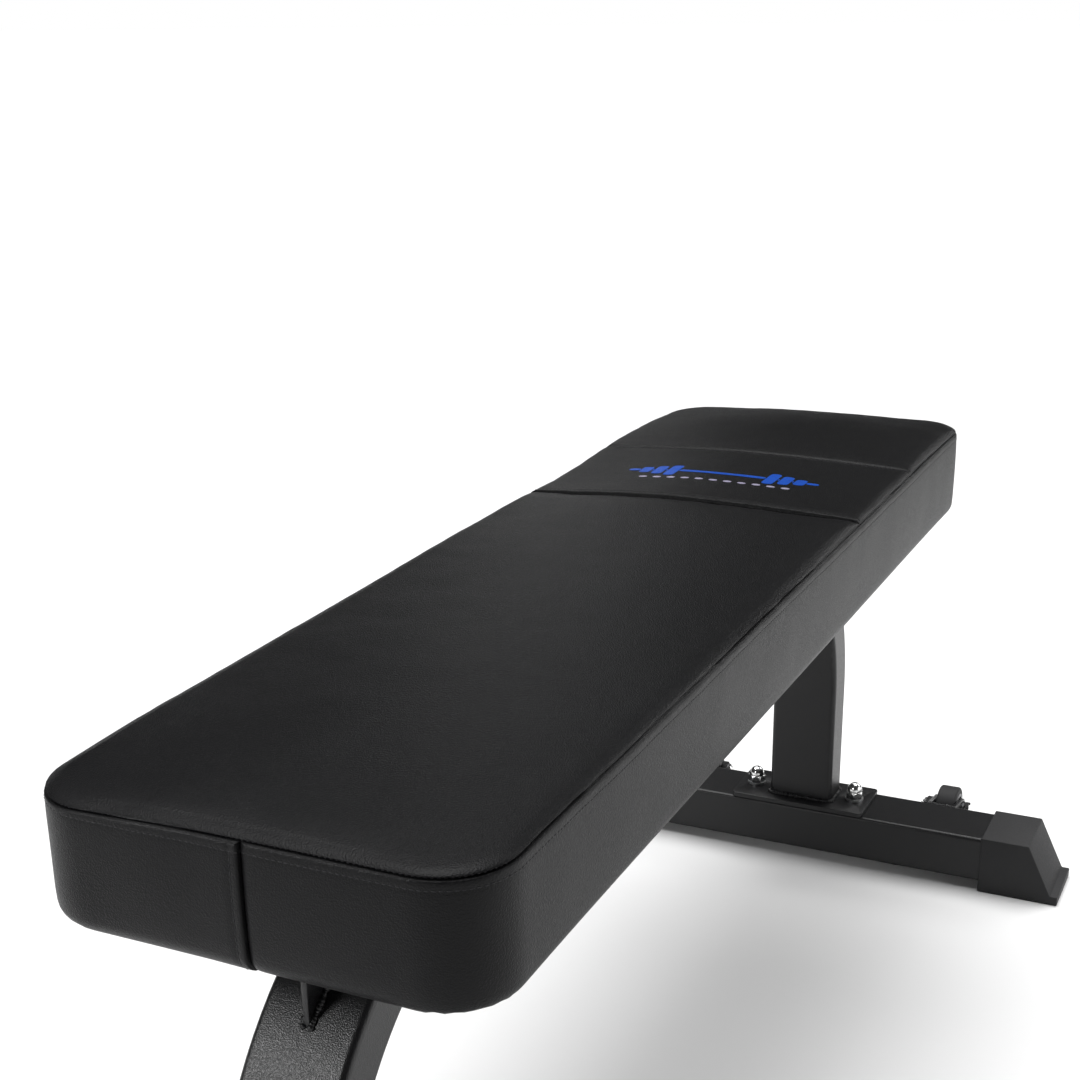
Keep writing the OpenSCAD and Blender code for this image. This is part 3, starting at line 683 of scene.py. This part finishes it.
topstitch = [(lifted(loops[TOPSTITCH_RING], 0.12 * MM), True),
             (across_path(strip_a + 4.6 * MM), False),
             (across_path(strip_b - 4.8 * MM), False), (flap_path(), False)]
stitches = grow("cover_stitches", beads, paths_mesh("stitch_paths", topstitch),
                {"Pitch": 3.9 * MM, "Long": 2.9 * MM, "Thick": 0.78 * MM, "Uneven": 0.08,
                 "Lean": 0.10, "Seed": 4})
dress(stitches, thread)
groove_path = [(lifted(loops[GROOVE_RING], 0.5 * MM), True)]
groove = grow("seam_stitches", beads, paths_mesh("groove_path", groove_path),
              {"Pitch": 3.4 * MM, "Long": 2.2 * MM, "Thick": 1.0 * MM, "Uneven": 0.15,
               "Lean": 0.35, "Seed": 7})
dress(groove, thread)

# %% [markdown]
# ## The print on the headrest strip
# The strip carries a plain drawing of a barbell and a row of dashes. Each patch is a small
# net dropped onto the cover with a ray per point, so the print follows every dip, and it has
# a thin edge like real transfer film.

# %% Lay the print on the cover
def film(name, patches, thick=0.22 * MM, step=4 * MM):
    verts, faces = [], []
    for x0, x1, y0, y1 in patches:
        nx, ny = max(2, round((x1 - x0) / step)), max(2, round((y1 - y0) / step))
        first = len(verts)
        for layer in (thick, -0.3 * MM):
            for i in range(nx + 1):
                for j in range(ny + 1):
                    x, y = x0 + (x1 - x0) * i / nx, y0 + (y1 - y0) * j / ny
                    round_in = 0.9 * MM if i in (0, nx) and j in (0, ny) else 0
                    x += round_in * (1 if i == 0 else -1)
                    y += round_in * (1 if j == 0 else -1)
                    above = Vector((x, y, seam_z + 0.1))
                    spot, normal, *_ = cover_skin.ray_cast(above, Vector((0, 0, -1)))
                    verts.append(spot + normal * layer)
        size = (nx + 1) * (ny + 1)

        def at(layer, i, j):
            return first + layer * size + i * (ny + 1) + j

        for i in range(nx):
            for j in range(ny):
                faces.append((at(0, i, j), at(0, i + 1, j), at(0, i + 1, j + 1), at(0, i, j + 1)))
                faces.append((at(1, i, j), at(1, i, j + 1), at(1, i + 1, j + 1), at(1, i + 1, j)))
        edge = [(i, 0) for i in range(nx)] + [(nx, j) for j in range(ny)]
        edge += [(i, ny) for i in range(nx, 0, -1)] + [(0, j) for j in range(ny, 0, -1)]
        for (i, j), (m, n) in zip(edge, edge[1:] + edge[:1]):
            faces.append((at(0, i, j), at(1, i, j), at(1, m, n), at(0, m, n)))
    return smooth(new_piece(name, verts, faces), 40)


bar_low, bar_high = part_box("badge_barbell")
dash_low, dash_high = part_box("badge_dashes")


def barbell_patches():
    mid = (bar_low.x + bar_high.x) / 2
    half = bar_high.y
    plates = [(half - 12 * MM - 13 * MM * k, 0.5 * (18 + 8 * k) * MM) for k in range(3)]
    patches = []
    for side in (-1, 1):
        reach = half
        for outer, tall in plates:
            spans = sorted((side * reach, side * (outer + 0.4 * MM)))
            patches.append((mid - 3 * MM, mid + 3 * MM, *spans))
            ys = sorted((side * outer, side * (outer - 10 * MM)))
            patches.append((mid - tall, mid + tall, *ys))
            reach = outer - 10.4 * MM
    patches.append((mid - 3 * MM, mid + 3 * MM, -reach, reach))
    return patches


def dash_patches(count=11, wide=8 * MM):
    pitch = (dash_high.y - dash_low.y - wide) / (count - 1)
    return [(dash_low.x, dash_high.x, dash_low.y + k * pitch, dash_low.y + k * pitch + wide)
            for k in range(count)]


dress(film("print_barbell", barbell_patches()), blue_print,
      stands_for=["badge_barbell"])
dress(film("print_dashes", dash_patches()), pale_print,
      stands_for=["badge_dashes"])
print("print between", round(bar_low.y / MM), "and", round(bar_high.y / MM), "mm across")

# %% [markdown]
# ## The underside
# A black non-woven sheet closes the underside of the pad. It is stapled over the raw edge of
# the cover, hangs slack by a few millimetres between the plates and lies flat where they
# press on it. Staples are set out along its edge with a tree of their own.

# %% Hang the dust sheet and staple it
SHEET_IN, SHEET_THICK = 30 * MM, 0.35 * MM
plate_foot, plate_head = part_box("pad_plate_foot_end"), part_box("pad_plate_head_end")


def dust_sheet(step=10 * MM):
    reach_x, reach_y = half_l - SHEET_IN, half_w - SHEET_IN
    nx, ny = round(2 * reach_x / step), round(2 * reach_y / step)
    verts, faces = [], []
    for i in range(nx + 1):
        for j in range(ny + 1):
            u, v = 2 * i / nx - 1, 2 * j / ny - 1
            x, y = pad_x + u * reach_x, v * reach_y
            free = ease(x, plate_foot[1].x, plate_foot[1].x + 0.06) \
                * ease(-x, -plate_head[0].x, -plate_head[0].x + 0.06)
            slack = 2.2 * free * (1 - v * v) + 0.2 * wave(Vector((x, y, 0)), 40, 2.0) * free
            verts.append((x, y, floor_z + SHEET_THICK - max(slack, 0.0) * MM))
    for i in range(nx):
        for j in range(ny):
            a = i * (ny + 1) + j
            faces.append((a, a + 1, a + ny + 2, a + ny + 1))
    made = new_piece("dust_sheet", verts, faces)
    skin = made.modifiers.new("thickness", "SOLIDIFY")
    skin.thickness, skin.offset = SHEET_THICK, -1.0
    return smooth(made, 60), (2 * reach_x, 2 * reach_y)


underside, cut = dust_sheet()
dress(underside, dust_cloth, stands_for=["cover_dust_sheet"])
print("dust sheet", [round(side / MM) for side in cut], "mm")


def staples_tree():
    tree, given = new_tree("staples_along_path", [
        ("Pitch", "NodeSocketFloat", 0.03), ("Width", "NodeSocketFloat", 0.01),
        ("Wire", "NodeSocketFloat", 0.0005)])
    points, heading = evenly_along(tree, given)
    half = add(tree, "ShaderNodeMath", {"operation": "MULTIPLY"}, {0: given["Width"], 1: 0.5})
    left = add(tree, "ShaderNodeMath", {"operation": "MULTIPLY"}, {0: half.outputs[0], 1: -1.0})
    ends = [add(tree, "ShaderNodeCombineXYZ", None, {"Z": side.outputs[0]})
            for side in (left, half)]
    wire = add(tree, "GeometryNodeCurvePrimitiveLine", None,
               {"Start": ends[0].outputs[0], "End": ends[1].outputs[0]})
    round_wire = add(tree, "GeometryNodeCurvePrimitiveCircle", None,
                     {"Resolution": 6, "Radius": given["Wire"]})
    solid = add(tree, "GeometryNodeCurveToMesh", None,
                {"Curve": wire.outputs["Curve"], "Profile Curve": round_wire.outputs["Curve"],
                 "Fill Caps": True})
    return close_tree(tree, copies(tree, points, solid.outputs["Mesh"], heading))


def staple_path(inset, z):
    x, y = half_l - inset, half_w - inset
    corners = ((-1, -1), (1, -1), (1, 1), (-1, 1))
    return [Vector((pad_x + sx * x, sy * y, z)) for sx, sy in corners]


staple_line = [(staple_path(SHEET_IN + 7 * MM, floor_z + 0.1 * MM), True)]
staples = grow("staples", staples_tree(), paths_mesh("staple_path", staple_line),
               {"Pitch": 34 * MM, "Width": 10 * MM, "Wire": 0.5 * MM})
dress(staples, staple_steel)

# %% [markdown]
# ## The frame's steel
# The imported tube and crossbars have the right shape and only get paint. Cut plates and
# moulded rubber never have knife edges, so those are copied, their loose triangles merged
# and their sharp edges rounded with a small bevel.

# %% Paint the frame and round its cut edges
def eased(node, width, finish, segments=2):
    shape = bmesh.new()
    shape.from_mesh(frame["nodes"][node].data)
    bmesh.ops.remove_doubles(shape, verts=shape.verts, dist=1e-6)
    bmesh.ops.dissolve_limit(shape, angle_limit=math.radians(0.4),
                             verts=shape.verts, edges=shape.edges)
    sharp = [edge for edge in shape.edges
             if len(edge.link_faces) == 2 and edge.calc_face_angle(0.0) > math.radians(50)]
    bmesh.ops.bevel(shape, geom=sharp, offset=width, segments=segments, profile=0.5,
                    affect="EDGES", clamp_overlap=True)
    mesh = bpy.data.meshes.new(node + "_eased")
    shape.to_mesh(mesh)
    shape.free()
    return dress(smooth(put(node + "_eased", mesh), 40), finish, stands_for=[node])


def paint(node, finish):
    mesh = frame["nodes"][node].data
    mesh.materials.clear()
    mesh.materials.append(finish)


ENDS, SIDES = ("foot", "head"), ("right", "left")
for end in ENDS:
    paint(f"crossbar_{end}_end", frame_paint)
    eased(f"base_plate_{end}_end", 0.6 * MM, frame_paint)
    eased(f"pad_plate_{end}_end", 0.5 * MM, frame_paint)
    eased(f"gusset_{end}_end", 0.4 * MM, frame_paint)
    for side in SIDES:
        eased(f"foot_cap_{end}_{side}", 1.3 * MM, foot_rubber, segments=3)
for side in SIDES:
    eased(f"wheel_bracket_{side}", 0.5 * MM, frame_paint)
paint("bent_frame_tube", frame_paint)
paint("pad_board", plywood)
for node in ("pad_t_nuts", "pad_washers", "crossbar_washers",
             "axle_sleeve_right", "axle_sleeve_left"):
    paint(node, zinc)
paint("axle_washers", black_zinc)
print("painted the frame")

# %% [markdown]
# ## Weld beads
# A hand-laid bead is a row of overlapping ripples, so the bead tree is run again along the
# joints with a short pitch and broad drops. The beads are powder coated with the frame.

# %% Lay the beads
BEND_R, TUBE_D, TUBE_W = 220 * MM, 40 * MM, 70 * MM
tube_low, tube_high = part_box("bent_frame_tube")
frame_x = (tube_low.x + tube_high.x) / 2
half_frame = (tube_high.x - tube_low.x) / 2
bend_x, bend_z = half_frame - BEND_R, tube_high.z - BEND_R


def round_box(cx, cy, z, wide, deep, radius, count=5):
    points = []
    for k, (sx, sy) in enumerate(((1, 1), (-1, 1), (-1, -1), (1, -1))):
        for m in range(count + 1):
            a = math.pi / 2 * (k + m / count)
            points.append(Vector((cx + sx * (wide / 2 - radius) + radius * math.cos(a),
                                  cy + sy * (deep / 2 - radius) + radius * math.sin(a), z)))
    return points


def straight(start, stop):
    return [Vector(start), Vector(stop)], False


def weld_paths():
    paths = []
    for end, sign in zip(ENDS, (-1, 1)):
        plate_low, plate_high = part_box(f"base_plate_{end}_end")
        leg_x = (plate_low.x + plate_high.x) / 2
        paths.append((round_box(leg_x, 0, plate_high.z + 0.6 * MM, TUBE_D + 1.6 * MM,
                                TUBE_W + 1.6 * MM, 6 * MM), True))
        fin_low, fin_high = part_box(f"gusset_{end}_end")
        near, far = sorted((abs(fin_low.x - frame_x), abs(fin_high.x - frame_x)))
        for side in (-1, 1):
            y = side * (fin_high.y + 0.7 * MM)
            arc = []
            for k in range(25):
                x = near + 4 * MM + (far - near - 4 * MM) * k / 24
                z = bend_z + math.sqrt(BEND_R ** 2 - (x - bend_x) ** 2)
                arc.append(Vector((frame_x + sign * x, y, z + 0.5 * MM)))
            paths.append((arc, False))
            z = fin_high.z - 0.5 * MM
            paths.append(straight((frame_x + sign * (near + 22 * MM), y, z),
                                  (frame_x + sign * (far - 2 * MM), y, z)))
            y, z = side * (TUBE_W / 2 - 1.6 * MM), tube_high.z - 0.9 * MM
            paths.append(straight((frame_x + sign * (bend_x - 20 * MM), y, z),
                                  (frame_x + sign * (bend_x + 8 * MM), y, z)))
    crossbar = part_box("crossbar_head_end")
    web_low, web_high = crossbar[0].z + 3 * MM, crossbar[1].z - 3 * MM
    for side in SIDES:
        low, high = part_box(f"wheel_bracket_{side}")
        x = low.x + 0.4 * MM
        for y in (low.y - 0.6 * MM, high.y + 0.6 * MM):
            paths.append(straight((x, y, web_low), (x, y, web_high)))
        x, z = low.x + 0.5 * MM, web_high + 0.6 * MM
        paths.append(straight((x, low.y, z), (x, high.y, z)))
    return paths


welds = grow("weld_beads", beads, paths_mesh("weld_paths", weld_paths()),
             {"Pitch": 2.1 * MM, "Long": 3.8 * MM, "Thick": 5.4 * MM, "Uneven": 0.28,
              "Lean": 0.5, "Seed": 11})
dress(welds, frame_paint)

# %% [markdown]
# ## Nuts and bolts
# A hexagon nut is a prism cut by a cone, so on every ring each point takes the smaller of
# the hexagon's and the cone's radius. One tree sets copies of a fastener out on points.

# %% Turn the fasteners
# Hexagon across its flats, height of the head and thickness of the shank, in mm.
M10 = {"across": 17, "head": 6.4, "d": 10}
M8 = {"across": 13, "head": 5.3, "d": 8}


def turned(name, rings, across, sides=48):
    """A closed body of rings from bottom to top: (height, radius) in mm, cut by a hexagon."""
    verts, faces = [], []
    for z, r, hexed in rings:
        for k in range(sides):
            a = 2 * math.pi * k / sides
            flat = across / 2 / math.cos((a % (math.pi / 3)) - math.pi / 6) if hexed else r
            reach = min(r, flat) * MM
            verts.append((reach * math.cos(a), reach * math.sin(a), z * MM))
    for i in range(len(rings) - 1):
        for k in range(sides):
            n = (k + 1) % sides
            faces.append((i * sides + k, i * sides + n, (i + 1) * sides + n, (i + 1) * sides + k))
    top = (len(rings) - 1) * sides
    faces.append(tuple(range(sides - 1, -1, -1)))
    faces.append(tuple(range(top, top + sides)))
    return smooth(new_piece(name, verts, faces), 28)


def hexed(low, high, across):
    """Rings of a hexagon with a chamfer at both ends."""
    full = across / 2 / math.cos(math.pi / 6) + 0.05
    rise = [(0, across / 2 - 0.15)]
    rise += [(k / 4, across / 2 + 0.1 + k * (full - across / 2) / 4) for k in (1, 2, 3, 4)]
    return [(low + z, r, True) for z, r in rise] + [(high - z, r, True) for z, r in reversed(rise)]


def shank(low, high, r, pitch=1.5):
    rings, z, out = [], low, True
    while z < high - 1.0:
        rings.append((z, r if out else r - 0.45, False))
        z, out = z + pitch / 2, not out
    return rings + [(high - 0.8, r - 0.1, False), (high, r - 0.9, False)]


def acorn():
    across, rings = M10["across"], [(8, 8.0, False)]
    for a in [math.radians(degrees) for degrees in range(0, 86, 8)]:
        rings.append((10 + 8 * math.sin(a), 8 * math.cos(a), False))
    return turned("acorn", hexed(0, 8, across) + rings + [(17.99, 0.3, False)], across)


def bolt(across, head, d, length):
    rings = [(-head, across / 2 - 1.2, True)] + hexed(-head, 0, across)
    return turned("bolt", rings + [(0.01, d / 2, False)] + shank(0.5, length, d / 2), across)


def lock_nut():
    across, collar = M10["across"], [(7.0, 7.7), (8.6, 7.7), (9.2, 7.2), (9.45, 6.4), (9.2, 5.3)]
    return turned("lock_nut", hexed(0, 6.8, across) + [(z, r, False) for z, r in collar], across)


def set_out_tree():
    tree, given = new_tree("fasteners_on_points", [
        ("Fastener", "NodeSocketObject", None), ("Turn", "NodeSocketRotation", None),
        ("Spin", "NodeSocketFloat", 0.0)])
    one = add(tree, "GeometryNodeObjectInfo", None, {"Object": given["Fastener"]})
    index = add(tree, "GeometryNodeInputIndex")
    angle = add(tree, "ShaderNodeMath", {"operation": "MULTIPLY"},
                {0: index.outputs["Index"], 1: given["Spin"]})
    own = add(tree, "ShaderNodeCombineXYZ", None, {"Z": angle.outputs[0]})
    both = add(tree, "FunctionNodeRotateRotation", {"rotation_space": "LOCAL"},
               {"Rotation": given["Turn"], "Rotate By": own.outputs[0]})
    return close_tree(tree, copies(tree, given["Geometry"], one.outputs["Geometry"],
                                   both.outputs["Rotation"]))


set_out = set_out_tree()


def fasten(name, fastener, points, turn, finish, node, spin=0.37):
    made = grow(name, set_out, new_mesh(name + "_spots", points, [], []),
                {"Fastener": fastener, "Turn": turn, "Spin": spin})
    bpy.data.objects.remove(fastener)
    smooth(made, 28)
    return dress(made, finish, stands_for=[node])


# %% Fit the fasteners
UP = (0.0, 0.0, 0.0)


def leg_bolt_places(z):
    places = []
    for end in ENDS:
        low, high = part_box(f"base_plate_{end}_end")
        places += [Vector(((low.x + high.x) / 2, sy * 57 * MM, z)) for sy in (-1, 1)]
    return places


def pad_bolt_places(z):
    return [Vector(((low.x + high.x) / 2, sy * 70 * MM, z))
            for low, high in (plate_foot, plate_head) for sy in (-1, 1)]


def fit_bolts(name, size, node, places):
    low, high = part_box(node)
    seat = low.z + size["head"] * MM
    fasten(name, bolt(**size, length=(high.z - seat) / MM), places(seat), UP, zinc, node)


fasten("acorn_nuts", acorn(), leg_bolt_places(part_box("crossbar_dome_nuts")[0].z), UP,
       bright_plate, "crossbar_dome_nuts", 0.6)
fit_bolts("leg_bolts", M10, "crossbar_bolts", leg_bolt_places)
fit_bolts("pad_fixing_bolts", M8, "pad_bolts", pad_bolt_places)
tyre_low, tyre_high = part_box("wheel_tyre_left")
axle_x, axle_z = (tyre_low.x + tyre_high.x) / 2, (tyre_low.z + tyre_high.z) / 2


def innermost(node):
    """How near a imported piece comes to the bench's middle plane."""
    return min(abs(v.co.y) for v in frame["nodes"][node].data.vertices)


def axle_parts():
    """Each axle bolt has its head outside and its lock nut inside, so the two sides mirror."""
    pieces = []
    head_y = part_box("axle_bolts")[1].y - M10["head"] * MM
    length = (head_y - innermost("axle_bolts")) / MM
    nut_y = innermost("axle_lock_nuts") + 9.5 * MM
    for kind, build, at, finish, slot in (
            ("axle_bolt", lambda: bolt(**M10, length=length), head_y, bright_plate, "bright_plate"),
            ("axle_lock_nut", lock_nut, nut_y, black_zinc, "zinc")):
        for side, sign in zip(SIDES, (-1, 1)):
            turn = (sign * math.pi / 2, 0.0, 0.0)
            pieces.append(fasten(f"{kind}_{side}", build(), [Vector((axle_x, sign * at, axle_z))],
                                 turn, finish, kind + "s"))
    return pieces


print(len(axle_parts()), "axle fasteners")

# %% [markdown]
# ## The wheels
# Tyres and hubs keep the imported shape. A moulded hub is stiffened by ribs between its boss
# and its rim, so a small tree stands ribs in a ring.

# %% Rib the hubs
def ribs_tree():
    tree, given = new_tree("ribs_in_a_ring", [
        ("Count", "NodeSocketInt", 6), ("Radius", "NodeSocketFloat", 0.013),
        ("Size", "NodeSocketVector", None), ("Centre", "NodeSocketVector", None)])
    ring = add(tree, "GeometryNodeMeshCircle", None,
               {"Vertices": given["Count"], "Radius": given["Radius"]})
    rib = add(tree, "GeometryNodeMeshCube", None,
              {"Size": given["Size"], "Vertices X": 4, "Vertices Y": 3, "Vertices Z": 3})
    facing = add(tree, "FunctionNodeAlignRotationToVector", {"axis": "X"},
                 {"Vector": add(tree, "GeometryNodeInputPosition").outputs["Position"]})
    placed = copies(tree, ring.outputs["Mesh"], rib.outputs["Mesh"], facing.outputs["Rotation"])
    stood = add(tree, "GeometryNodeTransform", None,
                {"Geometry": placed, "Translation": given["Centre"],
                 "Rotation": (math.pi / 2, 0.0, 0.0)})
    return close_tree(tree, stood.outputs["Geometry"])


ribs = ribs_tree()
for side in SIDES:
    paint(f"wheel_hub_{side}", hub_plastic)
    paint(f"wheel_tyre_{side}", tyre_rubber)
    hub_low, hub_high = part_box(f"wheel_hub_{side}")
    size = (4.6 * MM, 1.6 * MM, hub_high.y - hub_low.y - 1.4 * MM)
    made = grow(f"hub_ribs_{side}", ribs, bpy.data.meshes.new("nothing"),
                {"Count": 6, "Radius": 13.1 * MM, "Size": size,
                 "Centre": tuple((hub_low + hub_high) / 2)})
    dress(made, hub_plastic, f"wheel_{side}")
print("wheels at", round(axle_x / MM, 1), round(axle_z / MM, 1))

# %% [markdown]
# ## Floor, light and camera
# The bench stands on a plain pale floor. A broad sun from above lights it and softens the
# shadows. A black object shows its shape by what it mirrors, and each softbox stands where
# one face mirrors it: one on the right for the band and the legs, one past the head end for
# the ends that face it, a small one behind the far left corner for the sheen on the top, and
# a small one past the foot end for the near leg. The softboxes are hidden from the camera.

# %% Floor and world
# The standard view keeps the floor white beside near-black vinyl. The background is white to
# the camera and nearly dark to the bench, so that the lights alone draw its shape.
bpy.context.scene.view_settings.view_transform = "Standard"
floor = new_piece("floor", [(-40, -40, 0), (40, -40, 0), (40, 40, 0), (-40, 40, 0)], [(0, 1, 2, 3)])


def floor_finish():
    made, tree, skin, where = start_finish("pale_floor", Roughness=0.9, Specular_Ior_Level=0.2)
    slow = cloud(tree, where, 0.8)
    tone = tint(tree, slow, (0.86, 0.86, 0.86), (0.88, 0.88, 0.88))
    tree.links.new(tone, skin.inputs["Base Color"])
    return made


floor.data.materials.append(floor_finish())
world = bpy.data.worlds.new("studio")
bpy.context.scene.world = world
world.use_nodes = True
around = world.node_tree
around.nodes.clear()
lit, seen = [add(around, "ShaderNodeBackground", None, {"Color": (1, 1, 1, 1), "Strength": power})
             for power in (0.04, 1.0)]
path = add(around, "ShaderNodeLightPath")
mixed = add(around, "ShaderNodeMixShader", None,
            {0: path.outputs["Is Camera Ray"], 1: lit.outputs[0], 2: seen.outputs[0]})
add(around, "ShaderNodeOutputWorld", None, {"Surface": mixed.outputs[0]})


# %% Lights
def softbox(name, at, aim, size, power):
    light = bpy.data.lights.new(name, "AREA")
    light.shape, light.energy = "RECTANGLE", power
    light.size, light.size_y = size
    made = put(name, light)
    made.location = at
    made.visible_camera = False
    made.rotation_euler = (Vector(aim) - Vector(at)).to_track_quat("-Z", "Y").to_euler()
    return made


sun = bpy.data.lights.new("sky_panel", "SUN")
sun.energy, sun.angle = 3.8, math.radians(56)
put("sky_panel", sun).rotation_euler = (math.radians(-8), math.radians(6), 0)
softbox("right_panel", (0.8, -2.5, 0.8), (0.1, 0.0, 0.3), (2.6, 1.4), 26)
softbox("edge_panel", (2.1, -0.95, 1.35), (0.0, -0.15, 0.5), (1.3, 0.55), 10.0)
softbox("far_left_panel", (1.34, 0.77, 0.95), (0.05, 0.13, 0.5), (0.42, 0.3), 0.62)
softbox("foot_end_panel", (-1.15, 0.50, 0.84), (-0.54, 0.0, 0.33), (0.22, 0.22), 5.5)

# %% Camera
SENSOR, FRAME, FOCAL, SHIFT = 36.0, 1080, 1741.3, 160  # the last three share one unit
camera = bpy.data.cameras.new("camera")
view = put("camera", camera)
camera.sensor_width = SENSOR
camera.lens = FOCAL / FRAME * SENSOR
camera.shift_y = SHIFT / FRAME
turn, drop, roll = 0.4497, 0.3889, -0.0200  # left, down and round the view, in radians
ahead = Vector((math.cos(turn) * math.cos(drop), math.sin(turn) * math.cos(drop), -math.sin(drop)))
level = Vector((math.sin(turn), -math.cos(turn), 0))
upright = level.cross(ahead)
side_way = level * math.cos(roll) + upright * math.sin(roll)
up_way = upright * math.cos(roll) - level * math.sin(roll)
view.rotation_mode = "QUATERNION"
view.rotation_quaternion = Matrix((side_way, up_way, -ahead)).transposed().to_quaternion()
view.location = (-1.2378, -0.5053, 0.9110)
bpy.context.scene.camera = view
